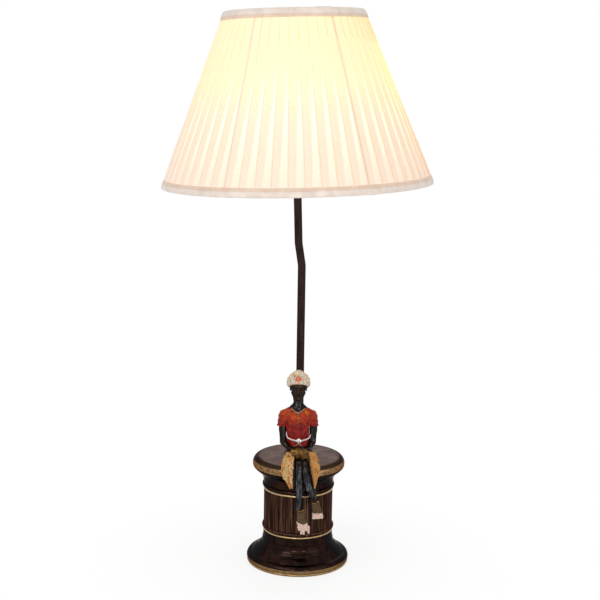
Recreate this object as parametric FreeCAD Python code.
import FreeCAD, Part
import math
import os

# Figural table lamp.  Millimetres, +Z up, the figure looks towards -Y and +X is on the
# right of someone who faces it.  The origin is on the column's axis, on the table.
# Everything above the stem's upper bend is drawn upright about X = Y = 0 and then put
# on the stem, which leans there, by on_stem().

Vector = FreeCAD.Vector

# ---- Stand: felt, rim, foot, rings, drum, capital, plate (radii and heights) ----
FOOT_TORUS_R = 68.3     # the foot's widest place
FELT_IN = 5.3           # felt, rim, step and flare lie this far inside it
RIM_IN = 0.4
FOOT_STEP_IN = 4.4
FLARE_IN = 6.5
FELT_T = 1.6
RIM_LIFT = 0.8          # the gilt rim hangs this far above the table
RIM_H = 3.1
SEAT_GAP = 0.2          # radial play between pieces that are set into each other
FOOT_H = 40.2           # from the rim's top to the lower bead ring
FOOT_TORUS_H = 9.7
FLARE_LIP = 0.4         # from the torus up to the flare's foot
FLARE_OUT = 8.1         # the flare's middle and low step stand this far out from the collar
FLARE_MID_H = 6.4       # from the flare's foot
FLARE_BOW = 0.345       # how far an arc stands off its chord, outwards
LOW_STEP_OUT = 4.8
LOW_STEP_H = 3.9        # from the flare's middle
LOW_STEP_BOW = -0.224
HIGH_STEP_H = 9.3       # from the low step
HIGH_STEP_BOW = -0.88
COLLAR_R = 46.4
FOOT_WALL = 4.0
FOOT_HOLLOW_R = 40.0
FOOT_ROOF_T = 6.0
STEP_D = 0.9            # the two fine steps on the flare
STEP_H = 0.5

BALLAST_R = 52.0
BALLAST_T = 11.0
BALLAST_PLAY = 0.3
CORD_SLOT_W = 9.0

BEAD_H = 3.0
BEAD_R = 46.9
BEAD_BORE_R = 33.0

DRUM_H = 54.2
DRUM_R = 46.0
DRUM_WALL = 5.5
FLUTES = 26
FLUTE_R = 2.3
FLUTE_D = 0.9
REED_R = 1.0
REED_D = 0.35
TORUS_R = 48.1
TORUS_H = 5.4

CAPITAL_H = 25.3        # from the upper bead ring to the gilt band
CAVETTO_R = 46.8
NECK_H = 8.0            # from the capital's foot to its narrowest place
COVE_OUT = 4.6
COVE_H = 12.0
COVE_BOW = -1.206
CAPITAL_R = 57.0
CAPITAL_BOW = 0.529
CAPITAL_WALL = 4.5
CAPITAL_ROOF_T = 6.0

BAND_H = 6.8
BAND_R = 61.3
BAND_TAPER = 2.5        # how much narrower the band is at its foot
BAND_W = 8.3            # its radial width, which the capital leaves for it
BAND_LIP = 0.6
BAND_LIP_H = 0.9
BAND_SHOULDER = 0.5
BAND_BOW = 1.128

PLATE_T = 9.4
PLATE_EDGE_R = 9.0
PLATE_LIP_R = 51.8

# ---- Stem and what clamps the stand on it ----
STEM_R = 5.15
STEM_BORE_R = 3.9
STEM_PLAY = 0.1
STEM_FOOT_Z = 3.0
BEND_LOW_Z = 402.0
BEND_HIGH_Z = 431.0
BEND_SHIFT = 4.6
BEND_R = 26.0
LEAN_DEG = 2.0
NUT_AF = 17.0
NUT_H = 6.0
NUT_COVER = 0.6         # the nut's face lies this far above the felt
WASHER_R = 12.0
WASHER_T = 1.6
FLANGE_R = 8.6
FLANGE_H = 3.2

# ---- Cable gland, at the back of the foot ----
GLAND_Z = 9.4
GLAND_BORE_R = 3.2
GLAND_R = 4.4
GLAND_HEAD_R = 5.2
GLAND_HEAD_T = 2.0
GLAND_LENGTH = 15.0

# ---- Lampholder (heights along the stem) ----
STEM_TOP_Z = 545.0
SADDLE_Z = 537.0
SADDLE_T = 2.2
SADDLE_W = 12.0
HARP_FOOT_X = 27.0
PIN_H = 11.0
CAP_H = 17.0
CAP_FOOT_R = 9.0
SHELL_R = 17.4
SHELL_T = 0.8
SHELL_H = 40.0
CAP_LIP = 0.8
CORE_R = 15.4
CORE_H = 17.0
THREAD_R = 13.7
THREAD_T = 0.5
THREAD_H = 25.0
CONTACT_R = 4.0
CONTACT_T = 2.6
KNOB_SHAFT_R = 1.9
KNOB_R = 5.0
KNOB_LENGTH = 12.0
KNOB_OUT = 7.5          # from the shell to the knob
KNOB_DEPTH = 8.0        # how far the spindle runs into the core
RUN_PLAY = 0.06         # radial play of a turning fit

# ---- Bulb ----
BULB_R = 30.0
BULB_LENGTH = 107.0
BULB_CAP_R = 13.2
BULB_CAP_H = 26.0
BULB_NECK_R = 12.4
BULB_WALL = 1.0
BULB_GAP = 0.3

# ---- Harp, its ferrules and the finial ----
HARP_WIRE_R = 1.8
HARP_HALF_W = 56.0
HARP_STRAIGHT = 27.0
HARP_FLARE_H = 46.0
HARP_SIDE_H = 34.0
HARP_PLATE_R = 7.5
HARP_PLATE_T = 2.2
STUD_R = 3.0
STUD_H = 11.5
FERRULE_R = 3.7
FERRULE_PLAY = 0.3
FERRULE_H = 16.0
FINIAL_R = 6.5
FINIAL_H = 14.5
STACK_GAP = 0.1

# ---- Shade: outer cone, pleats, frame ----
SHADE_BOTTOM_Z = 506.4
SHADE_H = 219.0
SHADE_BOTTOM_R = 175.0
SHADE_TOP_R = 91.6
TRIM_H = 11.5
TRIM_T = 1.0
TRIM_PLAY = 0.15
GORES = 6
RIB_BEARING = 0.0       # ribs at 0, 60, 120 ... degrees from +X
PLEATS_PER_GORE = 9
PLEAT_DEPTH = 2.0
PLEAT_RISE = 0.9        # share of a pleat's width over which it rises
CLOTH_T = 0.8
RING_R = 1.6
RIB_R = 1.2
WIRE_PLAY = 0.2
HUB_DROP = 14.6
HUB_R = 12.0
HUB_T = 1.6
WELD_GAP = 0.05         # from the flat end of a rib or arm to what it is brazed to
ARM_R = 1.7
ARM_BEND_R = 52.0       # how far from the axis the arms bend
ARM_BEND = 20.0
ARM_BEARING = 90.0
ARMS = 3

# ---- Figure (heights above its seat, which is the plate's top) ----
HEAD_X = -1.9
HEAD_Y = -26.5
HEAD_Z = 93.5
HEAD_W = 9.3
HEAD_D = 11.2
HEAD_H = 13.6
THROAT_R = 5.6
NECK_Z = 74.0
TURBAN_Y = -25.0
TURBAN_Z = 111.0
TURBAN_FOOT = 102.0
TURBAN_W = 16.2
TURBAN_D = 15.6
TURBAN_H = 11.0
JEWEL_R = 3.3
BODY_Y = -25.0
BACK_Y = -10.2
TORSO_W = 13.8
HEM_Z = 47.5
HAND_Z = 23.6
HAND_R = 4.2
LAP_TOP = 17.0
BELT_Z = 32.5
BELT_X = -0.5
BELT_W = 17.0           # half width and half depth of the belt's corners
BELT_D = 14.8
BELT_R = 1.5
BUCKLE_W = 12.0
BUCKLE_H = 8.0
BUCKLE_T = 2.4
THIGH_R = 8.8
THIGH_Z = 8.2
SHIN_GAP = 0.6
CLOTH_D = 4.6
FOLD_D = 17.0
FOLD_T = 3.0
LEFT_SHOE_TOP = -66.0
RIGHT_SHOE_TOP = -49.5
ANKLET_R = 1.0
SCREW_R = 2.0
SCREW_HEAD_R = 4.0
SCREW_HEAD_H = 2.6
SCREW_REACH = 8.5
LEG_CUT = 16.0          # down to here the legs are cut flat, clear of the table's edge
FAR = 200.0             # past every side of the figure, for boxes that cut one side only

# ---- Radii and levels worked out from the sizes above ----
FELT_R = FOOT_TORUS_R - FELT_IN
RIM_R = FOOT_TORUS_R - RIM_IN
FOOT_STEP_R = FOOT_TORUS_R - FOOT_STEP_IN
FLARE_R = FOOT_TORUS_R - FLARE_IN
FLARE_MID_R = COLLAR_R + FLARE_OUT
LOW_STEP_R = COLLAR_R + LOW_STEP_OUT
RIM_TOP_Z = RIM_LIFT + RIM_H
FOOT_TOP_Z = RIM_TOP_Z + FOOT_H
DRUM_Z = FOOT_TOP_Z + BEAD_H
DRUM_TOP_Z = DRUM_Z + DRUM_H
CAPITAL_Z = DRUM_TOP_Z + BEAD_H
BAND_Z = CAPITAL_Z + CAPITAL_H
BAND_FOOT_R = BAND_R - BAND_TAPER
BAND_SEAT_R = BAND_R - BAND_W
PLATE_Z = BAND_Z + BAND_H
SEAT_Z = PLATE_Z + PLATE_T
STEM_HOLE_R = STEM_R + STEM_PLAY
RIM_BORE_R = FELT_R + 2 * SEAT_GAP

SADDLE_TOP_Z = SADDLE_Z + SADDLE_T
SHELL_Z = SADDLE_TOP_Z + CAP_H
KNOB_Z = SHELL_Z + 5.0
CORE_TOP_Z = KNOB_Z + 5.0
CONTACT_TOP_Z = CORE_TOP_Z + CONTACT_T
BULB_Z = CONTACT_TOP_Z + BULB_GAP
BULB_TOP_Z = BULB_Z + BULB_LENGTH

SHADE_TOP_Z = SHADE_BOTTOM_Z + SHADE_H
HUB_Z = SHADE_TOP_Z - HUB_DROP
HARP_TOP_Z = HUB_Z - STACK_GAP
HARP_Z = SADDLE_TOP_Z + PIN_H + STACK_GAP
FINIAL_Z = HUB_Z + HUB_T + STACK_GAP

SHADE_SLOPE = (SHADE_BOTTOM_R - SHADE_TOP_R) / SHADE_H
SHADE_COS = 1 / math.hypot(1, SHADE_SLOPE)
PEAK_INSET = TRIM_T + TRIM_PLAY
FOLD_INSET = PEAK_INSET + PLEAT_DEPTH
PLEAT_DEG = 360.0 / GORES / PLEATS_PER_GORE
CHORD_SAG = SHADE_BOTTOM_R * (1 - math.cos(math.radians(PLEAT_DEG / 2)))
CLOTH_INSET = FOLD_INSET + CLOTH_T + CHORD_SAG
RING_INSET = CLOTH_INSET + (RING_R + WIRE_PLAY) / SHADE_COS
RIB_INSET = CLOTH_INSET + (RIB_R + WIRE_PLAY) / SHADE_COS
TRIM_W = RING_INSET + (RING_R + WIRE_PLAY) / SHADE_COS + TRIM_T
RING_LIFT = TRIM_T + TRIM_PLAY + RING_R
BOTTOM_RING_Z = SHADE_BOTTOM_Z + RING_LIFT
TOP_RING_Z = SHADE_TOP_Z - RING_LIFT


# ---- Small helpers ----
def polar(radius, degrees, z):
    """A point at this radius and bearing, at height z."""
    angle = math.radians(degrees)
    return Vector(radius * math.cos(angle), radius * math.sin(angle), z)


def cylinder(radius, height, z):
    """An upright cylinder on the axis, with its foot at z."""
    return Part.makeCylinder(radius, height, Vector(0, 0, z))


def tube(outer, inner, height, z):
    """An upright tube on the axis."""
    return cylinder(outer, height, z).cut(cylinder(inner, height, z))


def turned(edges):
    """A solid turned about Z from the edges of a closed outline in the XZ plane."""
    face = Part.Face(Part.Wire(edges))
    return face.revolve(Vector(0, 0, 0), Vector(0, 0, 1), 360)


def line(start, end):
    """A straight edge between two (radius, z) points."""
    return Part.makeLine(Vector(start[0], 0, start[1]), Vector(end[0], 0, end[1]))


def arc(start, middle, end):
    """An arc through three (radius, z) points."""
    points = [Vector(r, 0, z) for r, z in (start, middle, end)]
    return Part.Arc(*points).toShape()


def bowed(start, end, bow):
    """An arc between two (radius, z) points that stands off its chord by bow.

    A positive bow bulges outwards where the arc runs upwards."""
    run, rise = end[0] - start[0], end[1] - start[1]
    share = bow / math.hypot(run, rise)
    middle = ((start[0] + end[0]) / 2 + share * rise, (start[1] + end[1]) / 2 - share * run)
    return arc(start, middle, end)


def lines(*points):
    """Straight edges through (radius, z) points, in order."""
    return [line(a, b) for a, b in zip(points, points[1:])]


def polygon_prism(points, direction):
    """A prism of a closed outline of vectors."""
    return Part.Face(Part.makePolygon(points + points[:1])).extrude(direction)


def hexagon(across_flats, height, z, bore):
    """A hexagon nut on the axis."""
    corner = across_flats / math.sqrt(3)
    outline = [polar(corner, 60 * i, z) for i in range(6)]
    return polygon_prism(outline, Vector(0, 0, height)).cut(cylinder(bore, height, z))


def oval(x, y, z, half_w, half_d):
    """A level ellipse as a wire, its seam always towards +X."""
    scale = FreeCAD.Matrix()
    scale.scale(Vector(half_w, half_d, 1))
    ring = Part.makeCircle(1.0).transformGeometry(scale)
    ring.translate(Vector(x, y, z))
    return Part.Wire(ring.Edges)


def ellipsoid(x, y, z, half_w, half_d, half_h):
    """A ball stretched along the three axes."""
    scale = FreeCAD.Matrix()
    scale.scale(Vector(half_w, half_d, half_h))
    ball = Part.makeSphere(1.0).transformGeometry(scale)
    ball.translate(Vector(x, y, z))
    return ball


def limb(points, radii):
    """Balls joined by tapered rods."""
    shape = Part.makeSphere(radii[0], points[0])
    for start, end, r_start, r_end in zip(points, points[1:], radii, radii[1:]):
        along = end - start
        if abs(r_start - r_end) < 1e-6:
            rod = Part.makeCylinder(r_start, along.Length, start, along)
        else:
            rod = Part.makeCone(r_start, r_end, along.Length, start, along)
        shape = shape.fuse([rod, Part.makeSphere(r_end, end)])
    return shape.removeSplitter()


def kept(shape, low, high):
    """What of a shape lies in the box between two corners."""
    size = high - low
    return largest(shape.common(Part.makeBox(size.x, size.y, size.z, low)))


def rounded_path(points, radii):
    """A wire of straight runs with a tangent arc at each inner point."""
    edges = []
    start = points[0]
    for before, corner, after, radius in zip(points, points[1:], points[2:], radii):
        come = (corner - before).normalize()
        go = (after - corner).normalize()
        half_turn = come.getAngle(go) / 2
        reach = radius * math.tan(half_turn)
        first = corner - come * reach
        last = corner + go * reach
        bisector = (go - come).normalize()
        middle = corner + bisector * (radius / math.cos(half_turn) - radius)
        edges.append(Part.makeLine(start, first))
        edges.append(Part.Arc(first, middle, last).toShape())
        start = last
    edges.append(Part.makeLine(start, points[-1]))
    return Part.Wire(edges)


def rod_along(path, radius):
    """A round rod swept along a wire."""
    start = path.Edges[0].firstVertex().Point
    heading = path.Edges[0].tangentAt(path.Edges[0].FirstParameter)
    section = Part.Wire(Part.makeCircle(radius, start, heading))
    return path.makePipeShell([section], True, False)


def largest(shape):
    """The largest solid of a shape."""
    return max(shape.Solids, key=lambda solid: solid.Volume)


def cone_radius(z):
    """The shade's outer radius at this height along the stem."""
    return SHADE_BOTTOM_R - SHADE_SLOPE * (z - SHADE_BOTTOM_Z)


def on_stem(shape):
    """Carries a shape drawn upright on Z to the leaning top of the stem."""
    down = FreeCAD.Placement(Vector(0, 0, -BEND_HIGH_Z), FreeCAD.Rotation())
    lean = FreeCAD.Placement(
        Vector(-BEND_SHIFT, 0, BEND_HIGH_Z), FreeCAD.Rotation(Vector(0, 1, 0), -LEAN_DEG))
    placed = shape.copy()
    placed.Placement = lean.multiply(down).multiply(placed.Placement)
    return placed


# ---- Stand ----
def felt_pad():
    return cylinder(FELT_R, FELT_T, 0)


def foot_rim():
    """The gilt rim, rounded outside, that the foot's edge rests on."""
    top = RIM_TOP_Z
    middle = RIM_LIFT + RIM_H / 2
    edges = lines((RIM_R - 0.8, top), (RIM_BORE_R, top), (RIM_BORE_R, RIM_LIFT), (RIM_R - 0.8, RIM_LIFT))
    edges.append(arc((RIM_R - 0.8, RIM_LIFT), (RIM_R, middle), (RIM_R - 0.8, top)))
    return turned(edges)


def gland_axis_solid(radius, y_from, y_to):
    """A rod along the gland's axis."""
    return Part.makeCylinder(radius, y_to - y_from, Vector(0, y_from, GLAND_Z), Vector(0, 1, 0))


def base_foot():
    """Cast foot: big torus, step, ogee flare with two fine steps, and collar."""
    z = RIM_TOP_Z
    land_r = RIM_BORE_R - SEAT_GAP
    torus_mid = (FOOT_TORUS_R, z + 0.4 * FOOT_TORUS_H)
    torus_top = (FOOT_STEP_R, z + FOOT_TORUS_H)
    flare_foot = (FLARE_R, z + FOOT_TORUS_H + FLARE_LIP)
    flare_mid = (FLARE_MID_R, flare_foot[1] + FLARE_MID_H)
    low_step = (LOW_STEP_R, flare_mid[1] + LOW_STEP_H)
    low_step_top = (LOW_STEP_R - STEP_D, low_step[1] + STEP_H)
    high_step = (COLLAR_R + STEP_D, low_step_top[1] + HIGH_STEP_H)
    high_step_top = (COLLAR_R, high_step[1] + STEP_H)
    under_roof = FOOT_TOP_Z - FOOT_ROOF_T
    pocket_r = BALLAST_R + BALLAST_PLAY
    pocket_top = FELT_T + BALLAST_T + BALLAST_PLAY
    edges = lines((pocket_r, FELT_T), (land_r, FELT_T), (land_r, z), (RIM_R - 0.6, z))
    edges.append(arc((RIM_R - 0.6, z), torus_mid, torus_top))
    edges += lines(torus_top, flare_foot)
    edges.append(bowed(flare_foot, flare_mid, FLARE_BOW))
    edges.append(bowed(flare_mid, low_step, LOW_STEP_BOW))
    edges += lines(low_step, low_step_top)
    edges.append(bowed(low_step_top, high_step, HIGH_STEP_BOW))
    edges += lines(
        high_step, high_step_top, (COLLAR_R, FOOT_TOP_Z), (STEM_HOLE_R, FOOT_TOP_Z),
        (STEM_HOLE_R, under_roof), (FOOT_HOLLOW_R, under_roof),
        (FOOT_HOLLOW_R, pocket_top + FOOT_WALL), (pocket_r, pocket_top), (pocket_r, FELT_T))
    foot = turned(edges)
    bore = gland_axis_solid(GLAND_R + SEAT_GAP / 2, FOOT_HOLLOW_R, FOOT_TORUS_R + 5)
    seat = gland_axis_solid(GLAND_HEAD_R + SEAT_GAP / 2, gland_seat_y(), FOOT_TORUS_R + 5)
    return foot.cut([bore, seat])


def gland_seat_y():
    """Where the gland's head sits, just under the torus's surface."""
    return FOOT_TORUS_R - GLAND_HEAD_T


def cable_gland():
    """Bush for the supply cord, at the back of the foot."""
    head_y = gland_seat_y()
    body = gland_axis_solid(GLAND_R, head_y + GLAND_HEAD_T - GLAND_LENGTH, head_y)
    head = gland_axis_solid(GLAND_HEAD_R, head_y, head_y + GLAND_HEAD_T)
    bore = gland_axis_solid(GLAND_BORE_R, 0, FOOT_TORUS_R + 5)
    return body.fuse(head).cut(bore).removeSplitter()


def nut_pocket_r():
    """The ballast's counterbore takes the nut and its washer."""
    return WASHER_R + 1.0


def washer_z():
    return FELT_T + NUT_COVER + NUT_H


def ballast():
    """Iron weight in the foot, with a pocket for the nut and a slot for the cord."""
    disc = cylinder(BALLAST_R, BALLAST_T, FELT_T)
    pocket = cylinder(nut_pocket_r(), washer_z() + WASHER_T - FELT_T, FELT_T)
    hole = cylinder(STEM_HOLE_R, BALLAST_T, FELT_T)
    slot = Part.makeBox(CORD_SLOT_W, BALLAST_R, BALLAST_T, Vector(-CORD_SLOT_W / 2, 0, FELT_T))
    weight = disc.cut([pocket, hole])
    cord_way = slot.cut(cylinder(nut_pocket_r() + 8, BALLAST_T, FELT_T))
    return weight.cut(cord_way)


def base_nut():
    return hexagon(NUT_AF, NUT_H, FELT_T + NUT_COVER, STEM_R)


def base_washer():
    return tube(WASHER_R, STEM_HOLE_R, WASHER_T, washer_z())


def bead_ring(z):
    """Brass ring with a half-round bead outside."""
    middle = z + BEAD_H / 2
    flat_r = BEAD_R - BEAD_H / 2
    edges = lines((flat_r, z + BEAD_H), (BEAD_BORE_R, z + BEAD_H), (BEAD_BORE_R, z), (flat_r, z))
    edges.append(arc((flat_r, z), (BEAD_R, middle), (flat_r, z + BEAD_H)))
    return turned(edges)


def column_drum():
    """Fluted drum over a half-round torus."""
    barrel = cylinder(DRUM_R, DRUM_H, DRUM_Z)
    grooves = []
    for i in range(FLUTES):
        step = 360.0 / FLUTES
        wide = polar(DRUM_R - FLUTE_D + FLUTE_R, i * step, DRUM_Z)
        fine = polar(DRUM_R - REED_D + REED_R, (i + 0.5) * step, DRUM_Z)
        grooves.append(Part.makeCylinder(FLUTE_R, DRUM_H, wide))
        grooves.append(Part.makeCylinder(REED_R, DRUM_H, fine))
    fluted = barrel.cut(grooves)
    torus_foot_r = TORUS_R - TORUS_H / 2
    top_z = DRUM_Z + TORUS_H
    edges = lines((torus_foot_r, top_z), (DRUM_R - DRUM_WALL, top_z),
                  (DRUM_R - DRUM_WALL, DRUM_Z), (torus_foot_r, DRUM_Z))
    edges.append(arc((torus_foot_r, DRUM_Z), (TORUS_R, DRUM_Z + TORUS_H / 2), (torus_foot_r, top_z)))
    shape = fluted.fuse(turned(edges)).removeSplitter()
    return shape.cut(cylinder(DRUM_R - DRUM_WALL, DRUM_H, DRUM_Z))


def capital():
    """Torus, cavetto and flaring underside below the gilt band."""
    z = CAPITAL_Z
    torus_foot_r = TORUS_R - TORUS_H / 2
    torus_top = (CAVETTO_R - 0.6, z + TORUS_H)
    neck = (CAVETTO_R, z + NECK_H)
    flare = (CAVETTO_R + COVE_OUT, z + NECK_H + COVE_H)
    rim = (CAPITAL_R, BAND_Z)
    inner_r = CAVETTO_R - CAPITAL_WALL
    roof_z = PLATE_Z - CAPITAL_ROOF_T
    edges = [arc((torus_foot_r, z), (TORUS_R, z + TORUS_H / 2), torus_top)]
    edges += lines(torus_top, neck)
    edges.append(bowed(neck, flare, COVE_BOW))
    edges.append(bowed(flare, rim, CAPITAL_BOW))
    edges += lines(rim, (BAND_SEAT_R, BAND_Z), (BAND_SEAT_R, PLATE_Z), (STEM_HOLE_R, PLATE_Z),
                   (STEM_HOLE_R, roof_z), (inner_r, roof_z), (inner_r, z), (torus_foot_r, z))
    shape = turned(edges)
    return shape.cut(screw_hole())


def capital_band():
    """Gilt band round the lower half of the table's edge."""
    top = PLATE_Z
    inner = BAND_SEAT_R + SEAT_GAP
    shoulder = (BAND_R - BAND_SHOULDER, top)
    foot = (BAND_FOOT_R - BAND_LIP, BAND_Z)
    lip = (BAND_FOOT_R, BAND_Z + BAND_LIP_H)
    edges = lines(shoulder, (inner, top), (inner, BAND_Z), foot, lip)
    edges.append(bowed(lip, shoulder, BAND_BOW))
    return turned(edges)


def top_plate():
    """The disc that the figure sits on, with a rounded edge and a fine lip."""
    top = SEAT_Z
    rounded = PLATE_EDGE_R
    centre_r = BAND_R - rounded
    diagonal = rounded * math.sqrt(0.5)
    start = (BAND_R, top - rounded)
    edges = lines((STEM_HOLE_R, top), (STEM_HOLE_R, PLATE_Z), (BAND_R - 0.3, PLATE_Z), start)
    edges.append(arc(start, (centre_r + diagonal, top - rounded + diagonal), (centre_r, top)))
    edges += lines((centre_r, top), (PLATE_LIP_R, top), (PLATE_LIP_R - 0.4, top - 0.3),
                   (PLATE_LIP_R - 0.8, top), (STEM_HOLE_R, top))
    return turned(edges).cut(screw_hole())


# ---- Stem ----
def stem():
    """Bent tube from the ballast up into the lampholder."""
    lean = math.radians(LEAN_DEG)
    bend = Vector(-BEND_SHIFT, 0, BEND_HIGH_Z)
    rise = STEM_TOP_Z - BEND_HIGH_Z
    top = bend + Vector(-math.sin(lean), 0, math.cos(lean)) * rise
    points = [Vector(0, 0, STEM_FOOT_Z), Vector(0, 0, BEND_LOW_Z), bend, top]
    path = rounded_path(points, [BEND_R, BEND_R])
    return rod_along(path, STEM_R).cut(rod_along(path, STEM_BORE_R))


def stem_flange():
    """Turned collar where the stem leaves the table."""
    middle = SEAT_Z + 0.6 * FLANGE_H
    edges = lines((STEM_HOLE_R, SEAT_Z + FLANGE_H), (STEM_HOLE_R, SEAT_Z), (FLANGE_R, SEAT_Z),
                  (FLANGE_R, SEAT_Z + 0.3 * FLANGE_H))
    edges.append(arc((FLANGE_R, SEAT_Z + 0.3 * FLANGE_H), (FLANGE_R - 1.2, middle),
                     (STEM_HOLE_R + 1.0, SEAT_Z + FLANGE_H)))
    edges += lines((STEM_HOLE_R + 1.0, SEAT_Z + FLANGE_H), (STEM_HOLE_R, SEAT_Z + FLANGE_H))
    return turned(edges)


# ---- Lampholder ----
def saddle_nut():
    return hexagon(NUT_AF, NUT_H, SADDLE_Z - NUT_H, STEM_R)


def harp_saddle():
    """Flat bar with an upright pin at each end for the harp's legs."""
    length = 2 * (HARP_FOOT_X + FERRULE_R)
    bar = Part.makeBox(length, SADDLE_W, SADDLE_T, Vector(-length / 2, -SADDLE_W / 2, SADDLE_Z))
    bar = bar.makeFillet(SADDLE_W / 2 - 0.5, [e for e in bar.Edges if is_upright(e)])
    pins = [Part.makeCylinder(HARP_WIRE_R, PIN_H, Vector(side * HARP_FOOT_X, 0, SADDLE_TOP_Z))
            for side in (-1, 1)]
    return bar.fuse(pins).cut(cylinder(STEM_HOLE_R, SADDLE_T, SADDLE_Z))


def is_upright(edge):
    """True for a straight edge along Z."""
    start, end = edge.firstVertex().Point, edge.lastVertex().Point
    return abs((end - start).z) > 0.99 * edge.Length


def holder_cap():
    """Spun cup screwed on the stem's end."""
    wall = SHELL_T + 0.4
    z = SADDLE_TOP_Z
    waist = z + 0.35 * CAP_H
    outer_r = SHELL_R + CAP_LIP
    inner_r = outer_r - wall
    edges = lines((STEM_HOLE_R, z), (CAP_FOOT_R, z), (CAP_FOOT_R, waist - 2))
    edges.append(arc((CAP_FOOT_R, waist - 2), (outer_r - 3.4, waist + 1.2), (outer_r, SHELL_Z - 4)))
    edges += lines((outer_r, SHELL_Z - 4), (outer_r, SHELL_Z), (inner_r, SHELL_Z),
                   (inner_r, SHELL_Z - 4))
    edges.append(arc((inner_r, SHELL_Z - 4), (inner_r - 3.0, waist + 2.0),
                     (CAP_FOOT_R - wall, waist - 1)))
    edges += lines((CAP_FOOT_R - wall, waist - 1), (CAP_FOOT_R - wall, z + 2), (STEM_HOLE_R, z + 2),
                   (STEM_HOLE_R, z))
    return turned(edges)


def knob_hole(radius):
    """The spindle's way through shell and core, towards -Y."""
    return Part.makeCylinder(radius, 3 * SHELL_R, Vector(0, -SHELL_R + KNOB_DEPTH, KNOB_Z),
                             Vector(0, -1, 0))


def holder_shell():
    body = tube(SHELL_R, SHELL_R - SHELL_T, SHELL_H, SHELL_Z)
    lip = tube(SHELL_R + CAP_LIP, SHELL_R - SHELL_T, 2.0, SHELL_Z + SHELL_H - 2.0)
    return body.fuse(lip).removeSplitter().cut(knob_hole(KNOB_SHAFT_R + RUN_PLAY))


def holder_core():
    """Moulded switch body, on a short step inside the cap, that carries the contacts."""
    low_z = CORE_TOP_Z - CORE_H
    neck = cylinder(CAP_FOOT_R, CORE_H, low_z)
    flange = tube(SHELL_R - SHELL_T - 0.1, CORE_R - 1, 2.0, SHELL_Z)
    body = cylinder(CORE_R, CORE_TOP_Z - SHELL_Z, SHELL_Z)
    core = body.fuse([neck, flange]).removeSplitter()
    return core.cut(knob_hole(KNOB_SHAFT_R + RUN_PLAY))


def screw_shell():
    """Threaded can for the bulb, standing on the core, with a rolled bead per turn."""
    z = CORE_TOP_Z
    can = tube(THREAD_R + THREAD_T, THREAD_R, THREAD_H, z)
    beads = [Part.makeTorus(THREAD_R + THREAD_T, 0.5, Vector(0, 0, z + 5 + 4 * i)) for i in range(5)]
    return can.fuse(beads).cut(cylinder(THREAD_R, THREAD_H, z))


def centre_contact():
    return cylinder(CONTACT_R, CONTACT_T, CORE_TOP_Z)


def switch_knob():
    """Turn knob with its spindle."""
    inner_y = -SHELL_R + KNOB_DEPTH - 0.3
    knob_y = -SHELL_R - KNOB_OUT
    spindle = Part.makeCylinder(KNOB_SHAFT_R, inner_y - knob_y, Vector(0, inner_y, KNOB_Z),
                                Vector(0, -1, 0))
    grip = Part.makeCone(KNOB_R - 0.8, KNOB_R, KNOB_LENGTH, Vector(0, knob_y, KNOB_Z),
                         Vector(0, -1, 0))
    flats = [Part.makeBox(2 * KNOB_R, KNOB_LENGTH - 2, KNOB_R,
                          Vector(side_x, knob_y - KNOB_LENGTH, KNOB_Z - KNOB_R / 2))
             for side_x in (-2 * KNOB_R - 2.4, 2.4)]
    return grip.cut(flats).fuse(spindle).removeSplitter()


# ---- Harp ----
def harp():
    """Bent wire from one saddle pin over the bulb to the other, with plate and stud."""
    foot, wide = HARP_FOOT_X, HARP_HALF_W
    shoulder_z = HARP_Z + HARP_STRAIGHT
    belly_z = shoulder_z + HARP_FLARE_H
    plate_z = HARP_TOP_Z - HARP_PLATE_T
    wire_z = plate_z - HARP_WIRE_R
    right = [Vector(foot, 0, HARP_Z), Vector(foot, 0, shoulder_z), Vector(wide, 0, belly_z),
             Vector(wide, 0, belly_z + HARP_SIDE_H), Vector(HARP_PLATE_R + 6, 0, wire_z)]
    left = [Vector(-p.x, 0, p.z) for p in reversed(right)]
    path = rounded_path(right + left, [24.0, 60.0, 42.0, 22.0, 22.0, 42.0, 60.0, 24.0])
    wire = rod_along(path, HARP_WIRE_R)
    plate = cylinder(HARP_PLATE_R, HARP_PLATE_T + HARP_WIRE_R, wire_z)
    stud = cylinder(STUD_R, STUD_H, HARP_TOP_Z)
    return wire.fuse([plate, stud]).removeSplitter()


def harp_ferrule(side):
    """Sleeve that locks a leg of the harp on its pin and slides up to free it."""
    x = side * HARP_FOOT_X
    z = SADDLE_TOP_Z + 0.3
    outer = Part.makeCylinder(FERRULE_R, FERRULE_H, Vector(x, 0, z))
    rolled = Part.makeTorus(FERRULE_R, 0.5, Vector(x, 0, z + FERRULE_H - 1.0))
    bore = Part.makeCylinder(HARP_WIRE_R + FERRULE_PLAY, FERRULE_H, Vector(x, 0, z))
    return outer.fuse(rolled).cut(bore)


def finial():
    """Low turned nut on the harp's stud."""
    z = FINIAL_Z
    edges = lines((0, z), (FINIAL_R, z), (FINIAL_R, z + 2.0))
    edges.append(arc((FINIAL_R, z + 2.0), (4.8, z + 3.2), (4.4, z + 5.0)))
    edges.append(arc((4.4, z + 5.0), (FINIAL_R - 0.6, z + 8.4), (4.6, z + 11.8)))
    edges.append(arc((4.6, z + 11.8), (3.2, z + 13.7), (1.0, z + FINIAL_H)))
    edges += lines((1.0, z + FINIAL_H), (0, z + FINIAL_H), (0, z))
    bore_depth = STUD_H - HUB_T - 2 * STACK_GAP + 0.3
    return turned(edges).cut(cylinder(STUD_R + RUN_PLAY, bore_depth, z))


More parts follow.
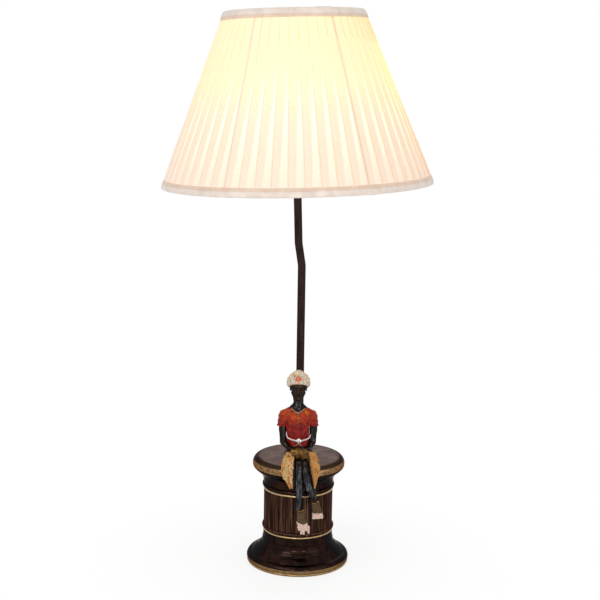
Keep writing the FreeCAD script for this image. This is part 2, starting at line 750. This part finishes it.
# ---- Bulb ----
def bulb_envelope(shrink):
    """Pear shape of the glass, made smaller by shrink for its inside."""
    neck_z = BULB_Z + BULB_CAP_H
    ball_r = BULB_R - shrink
    ball_z = BULB_TOP_Z - BULB_R
    neck_r = BULB_NECK_R - shrink
    angle = math.radians(-32)
    join = (ball_r * math.cos(angle), ball_z + ball_r * math.sin(angle))
    edges = [arc((0, ball_z + ball_r), (ball_r * math.sqrt(0.5), ball_z + ball_r * math.sqrt(0.5)),
                 (ball_r, ball_z))]
    edges.append(arc((ball_r, ball_z), (ball_r * math.cos(angle / 2), ball_z + ball_r * math.sin(angle / 2)),
                     join))
    edges += lines(join, (neck_r, neck_z + 9))
    edges += lines((neck_r, neck_z + 9), (neck_r, neck_z), (0, neck_z), (0, ball_z + ball_r))
    return turned(edges)


def bulb_glass():
    return bulb_envelope(0).cut(bulb_envelope(BULB_WALL))


def bulb_cap():
    """Screw cap of the bulb, with its insulator and contact."""
    z = BULB_Z
    shell = cylinder(BULB_CAP_R, BULB_CAP_H - 5, z + 5)
    taper = Part.makeCone(CONTACT_R, BULB_CAP_R - 0.6, 5, Vector(0, 0, z))
    return shell.fuse(taper)


# ---- Shade ----
def wire_ring(z):
    """A ring of the shade's frame, its seam halfway between two ribs."""
    ring = Part.makeTorus(cone_radius(z) - RING_INSET, RING_R, Vector(0, 0, z))
    ring.rotate(Vector(0, 0, z), Vector(0, 0, 1), RIB_BEARING + 180.0 / GORES)
    return ring


def pleat_outline(first_deg, z, degrees):
    """Closed outline of one gore's cloth at height z: saw teeth outside, chords inside."""
    crest_r = cone_radius(z) - PEAK_INSET
    fold_r = cone_radius(z) - FOLD_INSET
    inner_r = fold_r - CLOTH_T
    width = PLEAT_DEG
    outer = []
    for i in range(PLEATS_PER_GORE):
        start = first_deg + i * width
        outer.append(polar(fold_r, start, z))
        outer.append(polar(crest_r, start + PLEAT_RISE * width, z))
    outer.append(polar(fold_r, first_deg + degrees, z))
    inner = [polar(inner_r, first_deg + i * width, z) for i in range(PLEATS_PER_GORE, -1, -1)]
    points = outer + inner
    return Part.makePolygon(points + points[:1])


def shade_gore(index):
    """Nine knife pleats between two ribs."""
    degrees = 360.0 / GORES
    first = RIB_BEARING + degrees * index
    bottom_z = SHADE_BOTTOM_Z + TRIM_T + TRIM_PLAY
    top_z = SHADE_TOP_Z - TRIM_T - TRIM_PLAY
    outlines = [pleat_outline(first, z, degrees) for z in (bottom_z, top_z)]
    return Part.makeLoft(outlines, True, True)


def rib_line(index, inset):
    """Lower and upper end of a rib's axis."""
    bearing = RIB_BEARING + index * 360.0 / GORES
    low = polar(cone_radius(BOTTOM_RING_Z) - inset, bearing, BOTTOM_RING_Z)
    high = polar(cone_radius(TOP_RING_Z) - inset, bearing, TOP_RING_Z)
    return low, high


def shade_rib(index):
    """A straight wire that ends flat against each ring, where it is brazed."""
    low, high = rib_line(index, RIB_INSET)
    ring_low, ring_high = rib_line(index, RING_INSET)
    up = (high - low).normalize()
    start = low + up * (up.dot(ring_low - low) + RING_R + WELD_GAP)
    end = low + up * (up.dot(ring_high - low) - RING_R - WELD_GAP)
    return Part.makeCylinder(RIB_R, (end - start).Length, start, up)


def shade_ribs():
    return Part.makeCompound([shade_rib(i) for i in range(GORES)])


def spider_arms(radius):
    """Bent arms from the top ring down to the hub, brazed to both."""
    ring_r = cone_radius(TOP_RING_Z) - RING_INSET
    hub_z = HUB_Z + HUB_T / 2
    arms = []
    for i in range(ARMS):
        bearing = ARM_BEARING + i * 360.0 / ARMS
        ring_point = polar(ring_r, bearing, TOP_RING_Z)
        bend = polar(ARM_BEND_R, bearing, hub_z)
        start = ring_point + (bend - ring_point).normalize() * (RING_R + WELD_GAP)
        points = [start, bend, polar(HUB_R + WELD_GAP, bearing, hub_z)]
        arms.append(rod_along(rounded_path(points, [ARM_BEND]), radius))
    return arms


def spider():
    return Part.makeCompound(spider_arms(ARM_R))


def spider_hub():
    """Washer on the harp's plate, with the stud through it, that the arms hold."""
    return tube(HUB_R, STUD_R + 2 * RUN_PLAY, HUB_T, HUB_Z)


def trim_section(web_z, open_z):
    """A trim turned from two sloping walls that a web joins."""
    outer = [(cone_radius(web_z), web_z), (cone_radius(open_z), open_z)]
    inner = [(r - TRIM_W, z) for r, z in reversed(outer)]
    floor_z = web_z + (TRIM_T if open_z > web_z else -TRIM_T)
    floor_r = cone_radius(floor_z)
    mouth_r = cone_radius(open_z)
    channel = [(mouth_r - TRIM_T, open_z), (floor_r - TRIM_T, floor_z),
               (floor_r - TRIM_W + TRIM_T, floor_z), (mouth_r - TRIM_W + TRIM_T, open_z)]
    return turned(lines(*(outer + channel + inner + outer[:1])))


def bottom_trim():
    return trim_section(SHADE_BOTTOM_Z, SHADE_BOTTOM_Z + TRIM_H)


def top_trim():
    """Trim of the upper rim, notched for the spider's arms."""
    trim = trim_section(SHADE_TOP_Z, SHADE_TOP_Z - TRIM_H)
    return largest(trim.cut(spider_arms(ARM_R + WIRE_PLAY)))


# ---- Figure: neighbours meet at flat cuts, so that no two of its pieces overlap ----
def seat_point(x, y, height):
    """A point at this height above the seat."""
    return Vector(x, y, SEAT_Z + height)


def between(shape, low, high):
    """What of a shape lies between two heights above the seat."""
    return kept(shape, seat_point(-FAR, -FAR, low), seat_point(FAR, FAR, high))


def shin_y():
    """The shins and the cloth hang just clear of the table's edge."""
    return -(BAND_R + SHIN_GAP)


def turban():
    """Ball of wound cloth, flat where it sits on the head."""
    ball = ellipsoid(HEAD_X, TURBAN_Y, SEAT_Z + TURBAN_Z, TURBAN_W, TURBAN_D, TURBAN_H)
    return between(ball, TURBAN_FOOT, FAR)


def jewel():
    """Half a ball on the turban's front."""
    back_y = TURBAN_Y - TURBAN_D - 0.1
    ball = Part.makeSphere(JEWEL_R, seat_point(HEAD_X + 0.4, back_y, TURBAN_Z))
    return kept(ball, seat_point(-FAR, -FAR, 0), seat_point(FAR, back_y, FAR))


def head():
    """Head and neck in one, up to the turban."""
    skull = ellipsoid(HEAD_X, HEAD_Y, SEAT_Z + HEAD_Z, HEAD_W, HEAD_D, HEAD_H)
    throat = Part.makeCylinder(THROAT_R, HEAD_Z - NECK_Z, seat_point(HEAD_X, BODY_Y, NECK_Z))
    return between(skull.fuse(throat), NECK_Z, TURBAN_FOOT)


def torso():
    """From the lap to the neck."""
    sections = [(LAP_TOP, 0, -2.0, 15.6, 13.0), (26.0, 0, -1.5, 14.4, 11.8),
                (34.0, -0.5, -0.5, 13.4, 10.8), (45.0, -1.0, 0, 13.6, 11.0),
                (55.0, -1.4, 0, 13.8, 11.2), (63.0, -1.8, 0, 13.4, 10.2),
                (69.0, HEAD_X, 0, 11.4, 8.6), (NECK_Z, HEAD_X, 0, 7.4, 7.2)]
    wires = [oval(x, BODY_Y + y, SEAT_Z + height, w, d) for height, x, y, w, d in sections]
    return Part.makeLoft(wires, True, True)


def sleeve(side):
    """Short sleeve beside the torso, open at the hem, where the arm starts."""
    inner_x = HEAD_X + side * (TORSO_W + 0.2)
    shoulder = seat_point(inner_x + side * 1.4, BODY_Y, 61.5)
    tip = seat_point(inner_x + side * 8.0, BODY_Y - 1.5, 50.0)
    shape = limb([shoulder, tip], [6.8, 6.0])
    low = seat_point(min(inner_x, side * FAR), -FAR, HEM_Z)
    high = seat_point(max(inner_x, side * FAR), FAR, FAR)
    return kept(shape, low, high)


def tunic():
    return Part.makeCompound([torso(), sleeve(-1), sleeve(1)])


def arm(side):
    """Bare arm from the sleeve's hem to the hand in the lap."""
    upper_x = HEAD_X + side * (TORSO_W + 8.2)
    points = [seat_point(upper_x, BODY_Y - 2, HEM_Z + 1),
              seat_point(upper_x - side * 0.6, BODY_Y - 5, 28.8),
              seat_point(side * 13.6, -42.0, 23.6),
              seat_point(side * 5.0, -48.4, HAND_Z)]
    shape = limb(points, [3.9, 3.9, 3.1, HAND_R])
    return between(shape, 0, HEM_Z)


def belt():
    """Cord round the front of the tunic that dips to the buckle."""
    drop = [4.0, 1.4, -0.8, 1.4, 4.0]
    bearings = [203, 236, 270, 304, 332]
    points = []
    for bearing, rise in zip(bearings, drop):
        angle = math.radians(bearing)
        points.append(seat_point(BELT_X + BELT_W * math.cos(angle),
                                 BODY_Y + BELT_D * math.sin(angle), BELT_Z + rise))
    return rod_along(rounded_path(points, [8.0, 20.0, 8.0]), BELT_R)


def buckle():
    """Lozenge plate on the belt."""
    y = BODY_Y - BELT_D - BELT_R
    z = BELT_Z - 0.8
    corners = [seat_point(BELT_X + BUCKLE_W / 2, y, z), seat_point(BELT_X, y, z + BUCKLE_H / 2),
               seat_point(BELT_X - BUCKLE_W / 2, y, z), seat_point(BELT_X, y, z - BUCKLE_H / 2)]
    return polygon_prism(corners, Vector(0, -BUCKLE_T, 0))


def lap():
    """Hips and thighs, flat under the tunic, on the table and at the knees."""
    shape = ellipsoid(0, BODY_Y - 1, SEAT_Z + 10.5, 18.6, 14.0, 12.5)
    for hip_x, knee_x in ((-8.5, -5.0), (8.5, 10.0)):
        hip = seat_point(hip_x, BODY_Y - 3, THIGH_Z)
        knee = seat_point(knee_x, shin_y() - 4, THIGH_Z)
        shape = shape.fuse(Part.makeCone(THIGH_R, THIGH_R - 0.8, (knee - hip).Length, hip, knee - hip))
    shape = kept(shape, seat_point(-FAR, shin_y(), 0), seat_point(FAR, BACK_Y, LAP_TOP))
    return shape.cut(screw_hole(SCREW_REACH))


def hanging_cloth(outline, fold_x, fold_w):
    """Cloth in front of the table's edge, with the fold that lies on the table."""
    y = shin_y()
    points = [seat_point(x, y, height) for x, height in outline]
    drop = polygon_prism(points, Vector(0, -CLOTH_D, 0))
    fold = Part.makeBox(fold_w, FOLD_D, FOLD_T, seat_point(fold_x, y - CLOTH_D, 0))
    return drop.fuse(fold).removeSplitter()


def cloth_left():
    return hanging_cloth([(-14.4, 8.0), (-20.6, 3.0), (-21.6, -3.0), (-19.0, -14.0), (-10.6, -26.0),
                          (-8.6, -16.0), (-10.2, 8.0)], -21.0, 7.0)


def cloth_right():
    return hanging_cloth([(18.8, 9.0), (26.0, 5.0), (27.2, -2.0), (24.8, -20.0), (22.9, -20.0),
                          (21.3, -8.0)], 18.8, 6.8)


def leg_left():
    y = shin_y()
    points = [seat_point(-2.6, y - 2.2, 6.6), seat_point(0.6, y - 6.6, -11.0),
              seat_point(1.7, y - 5.8, -27.0), seat_point(2.4, y - 3.8, -41.0),
              seat_point(5.4, y - 1.0, LEFT_SHOE_TOP + 2)]
    return leg(points, [6.3, 6.0, 5.2, 3.8, 3.4], LEFT_SHOE_TOP)


def leg_right():
    y = shin_y()
    points = [seat_point(10.6, y - 2.2, 6.6), seat_point(14.2, y - 6.5, -11.0),
              seat_point(17.6, y - 4.0, -27.0), seat_point(21.4, y + 1.6, -40.0),
              seat_point(24.4, y + 5.2, RIGHT_SHOE_TOP + 2)]
    return leg(points, [6.3, 6.0, 5.6, 4.4, 3.7], RIGHT_SHOE_TOP)


def leg(points, radii, foot_height):
    """Shin that starts flat against the thigh and ends flat on the shoe."""
    shape = between(limb(points, radii), foot_height, FAR)
    behind = Part.makeBox(2 * FAR, FAR, FAR, seat_point(-FAR, shin_y(), -LEG_CUT))
    return largest(shape.cut(behind))


def shoe(sections):
    """A shoe lofted through ovals given as (height, x, y, half width, half depth)."""
    wires = [oval(x, y, SEAT_Z + height, w, d) for height, x, y, w, d in sections]
    return Part.makeLoft(wires, True, True)


def shoe_left():
    y = shin_y()
    top = LEFT_SHOE_TOP
    return shoe([(top, 6.0, y - 1.0, 4.6, 4.4), (top - 5, 7.4, y - 2.6, 8.4, 6.4),
                 (top - 14, 7.6, y - 5.0, 7.4, 7.6), (top - 22.6, 7.4, y - 7.0, 5.6, 5.0)])


def shoe_right():
    y = shin_y()
    top = RIGHT_SHOE_TOP
    return shoe([(top, 25.0, y + 5.0, 5.2, 5.0), (top - 7.5, 26.2, y + 3.4, 6.4, 6.6),
                 (top - 13.0, 26.8, y + 0.6, 8.0, 8.2), (top - 18.1, 26.8, y - 1.6, 7.2, 7.0)])


def anklets():
    """One ring round each ankle."""
    y = shin_y()
    left = Part.makeTorus(4.9, ANKLET_R, seat_point(4.3, y - 2.0, -55.5), Vector(-3.0, -2.8, 23))
    right = Part.makeTorus(5.4, ANKLET_R, seat_point(23.4, y + 4.0, -44.6), Vector(-3.0, -3.6, 7))
    return Part.makeCompound([left, right])


def screw_hole(reach=0.0):
    """The figure's screw comes up through capital and plate, and this far into the figure."""
    bottom = PLATE_Z - CAPITAL_ROOF_T
    length = SEAT_Z + reach - bottom
    return Part.makeCylinder(SCREW_R + SEAT_GAP, length, Vector(0, BODY_Y, bottom))


def figure_screw():
    """Holds the figure down from inside the capital."""
    head_z = PLATE_Z - CAPITAL_ROOF_T - SCREW_HEAD_H
    head_disc = Part.makeCylinder(SCREW_HEAD_R, SCREW_HEAD_H, Vector(0, BODY_Y, head_z))
    length = SEAT_Z + SCREW_REACH - 0.5 - head_z
    shank = Part.makeCylinder(SCREW_R, length, Vector(0, BODY_Y, head_z))
    return head_disc.fuse(shank).removeSplitter()


def figure_nodes():
    return {
        "figure_turban": turban(),
        "turban_jewel": jewel(),
        "figure_head": head(),
        "figure_tunic": tunic(),
        "figure_arm_left": arm(-1),
        "figure_arm_right": arm(1),
        "figure_belt": belt(),
        "belt_buckle": buckle(),
        "figure_lap": lap(),
        "cloth_panel_left": cloth_left(),
        "cloth_panel_right": cloth_right(),
        "figure_leg_left": leg_left(),
        "figure_leg_right": leg_right(),
        "anklets": anklets(),
        "figure_shoe_left": shoe_left(),
        "figure_shoe_right": shoe_right(),
        "figure_screw": figure_screw(),
    }


# ---- Every node by name ----
def stand_nodes():
    return {
        "felt_pad": felt_pad(),
        "foot_rim": foot_rim(),
        "base_foot": base_foot(),
        "ballast": ballast(),
        "base_nut": base_nut(),
        "base_washer": base_washer(),
        "cable_gland": cable_gland(),
        "lower_ring": bead_ring(FOOT_TOP_Z),
        "column_drum": column_drum(),
        "upper_ring": bead_ring(DRUM_TOP_Z),
        "capital": capital(),
        "capital_band": capital_band(),
        "top_plate": top_plate(),
        "stem": stem(),
        "stem_flange": stem_flange(),
    }


def top_nodes():
    """What the stem carries, still upright on Z."""
    nodes = {
        "saddle_nut": saddle_nut(),
        "harp_saddle": harp_saddle(),
        "holder_cap": holder_cap(),
        "holder_shell": holder_shell(),
        "holder_core": holder_core(),
        "screw_shell": screw_shell(),
        "centre_contact": centre_contact(),
        "switch_knob": switch_knob(),
        "harp": harp(),
        "harp_ferrule_left": harp_ferrule(-1),
        "harp_ferrule_right": harp_ferrule(1),
        "finial": finial(),
        "bulb_glass": bulb_glass(),
        "bulb_cap": bulb_cap(),
        "shade_bottom_ring": wire_ring(BOTTOM_RING_Z),
        "shade_top_ring": wire_ring(TOP_RING_Z),
        "shade_ribs": shade_ribs(),
        "spider": spider(),
        "spider_hub": spider_hub(),
        "bottom_trim": bottom_trim(),
        "top_trim": top_trim(),
    }
    for i in range(GORES):
        nodes["shade_gore_%d" % (i + 1)] = shade_gore(i)
    return nodes


def main():
    os.makedirs("parts", exist_ok=True)
    nodes = stand_nodes()
    nodes.update(figure_nodes())
    nodes.update({name: on_stem(shape) for name, shape in top_nodes().items()})
    for name, shape in nodes.items():
        shape.exportStep("parts/%s.step" % name)
        print(name, shape.isValid(), len(shape.Solids), round(shape.Volume))


main()
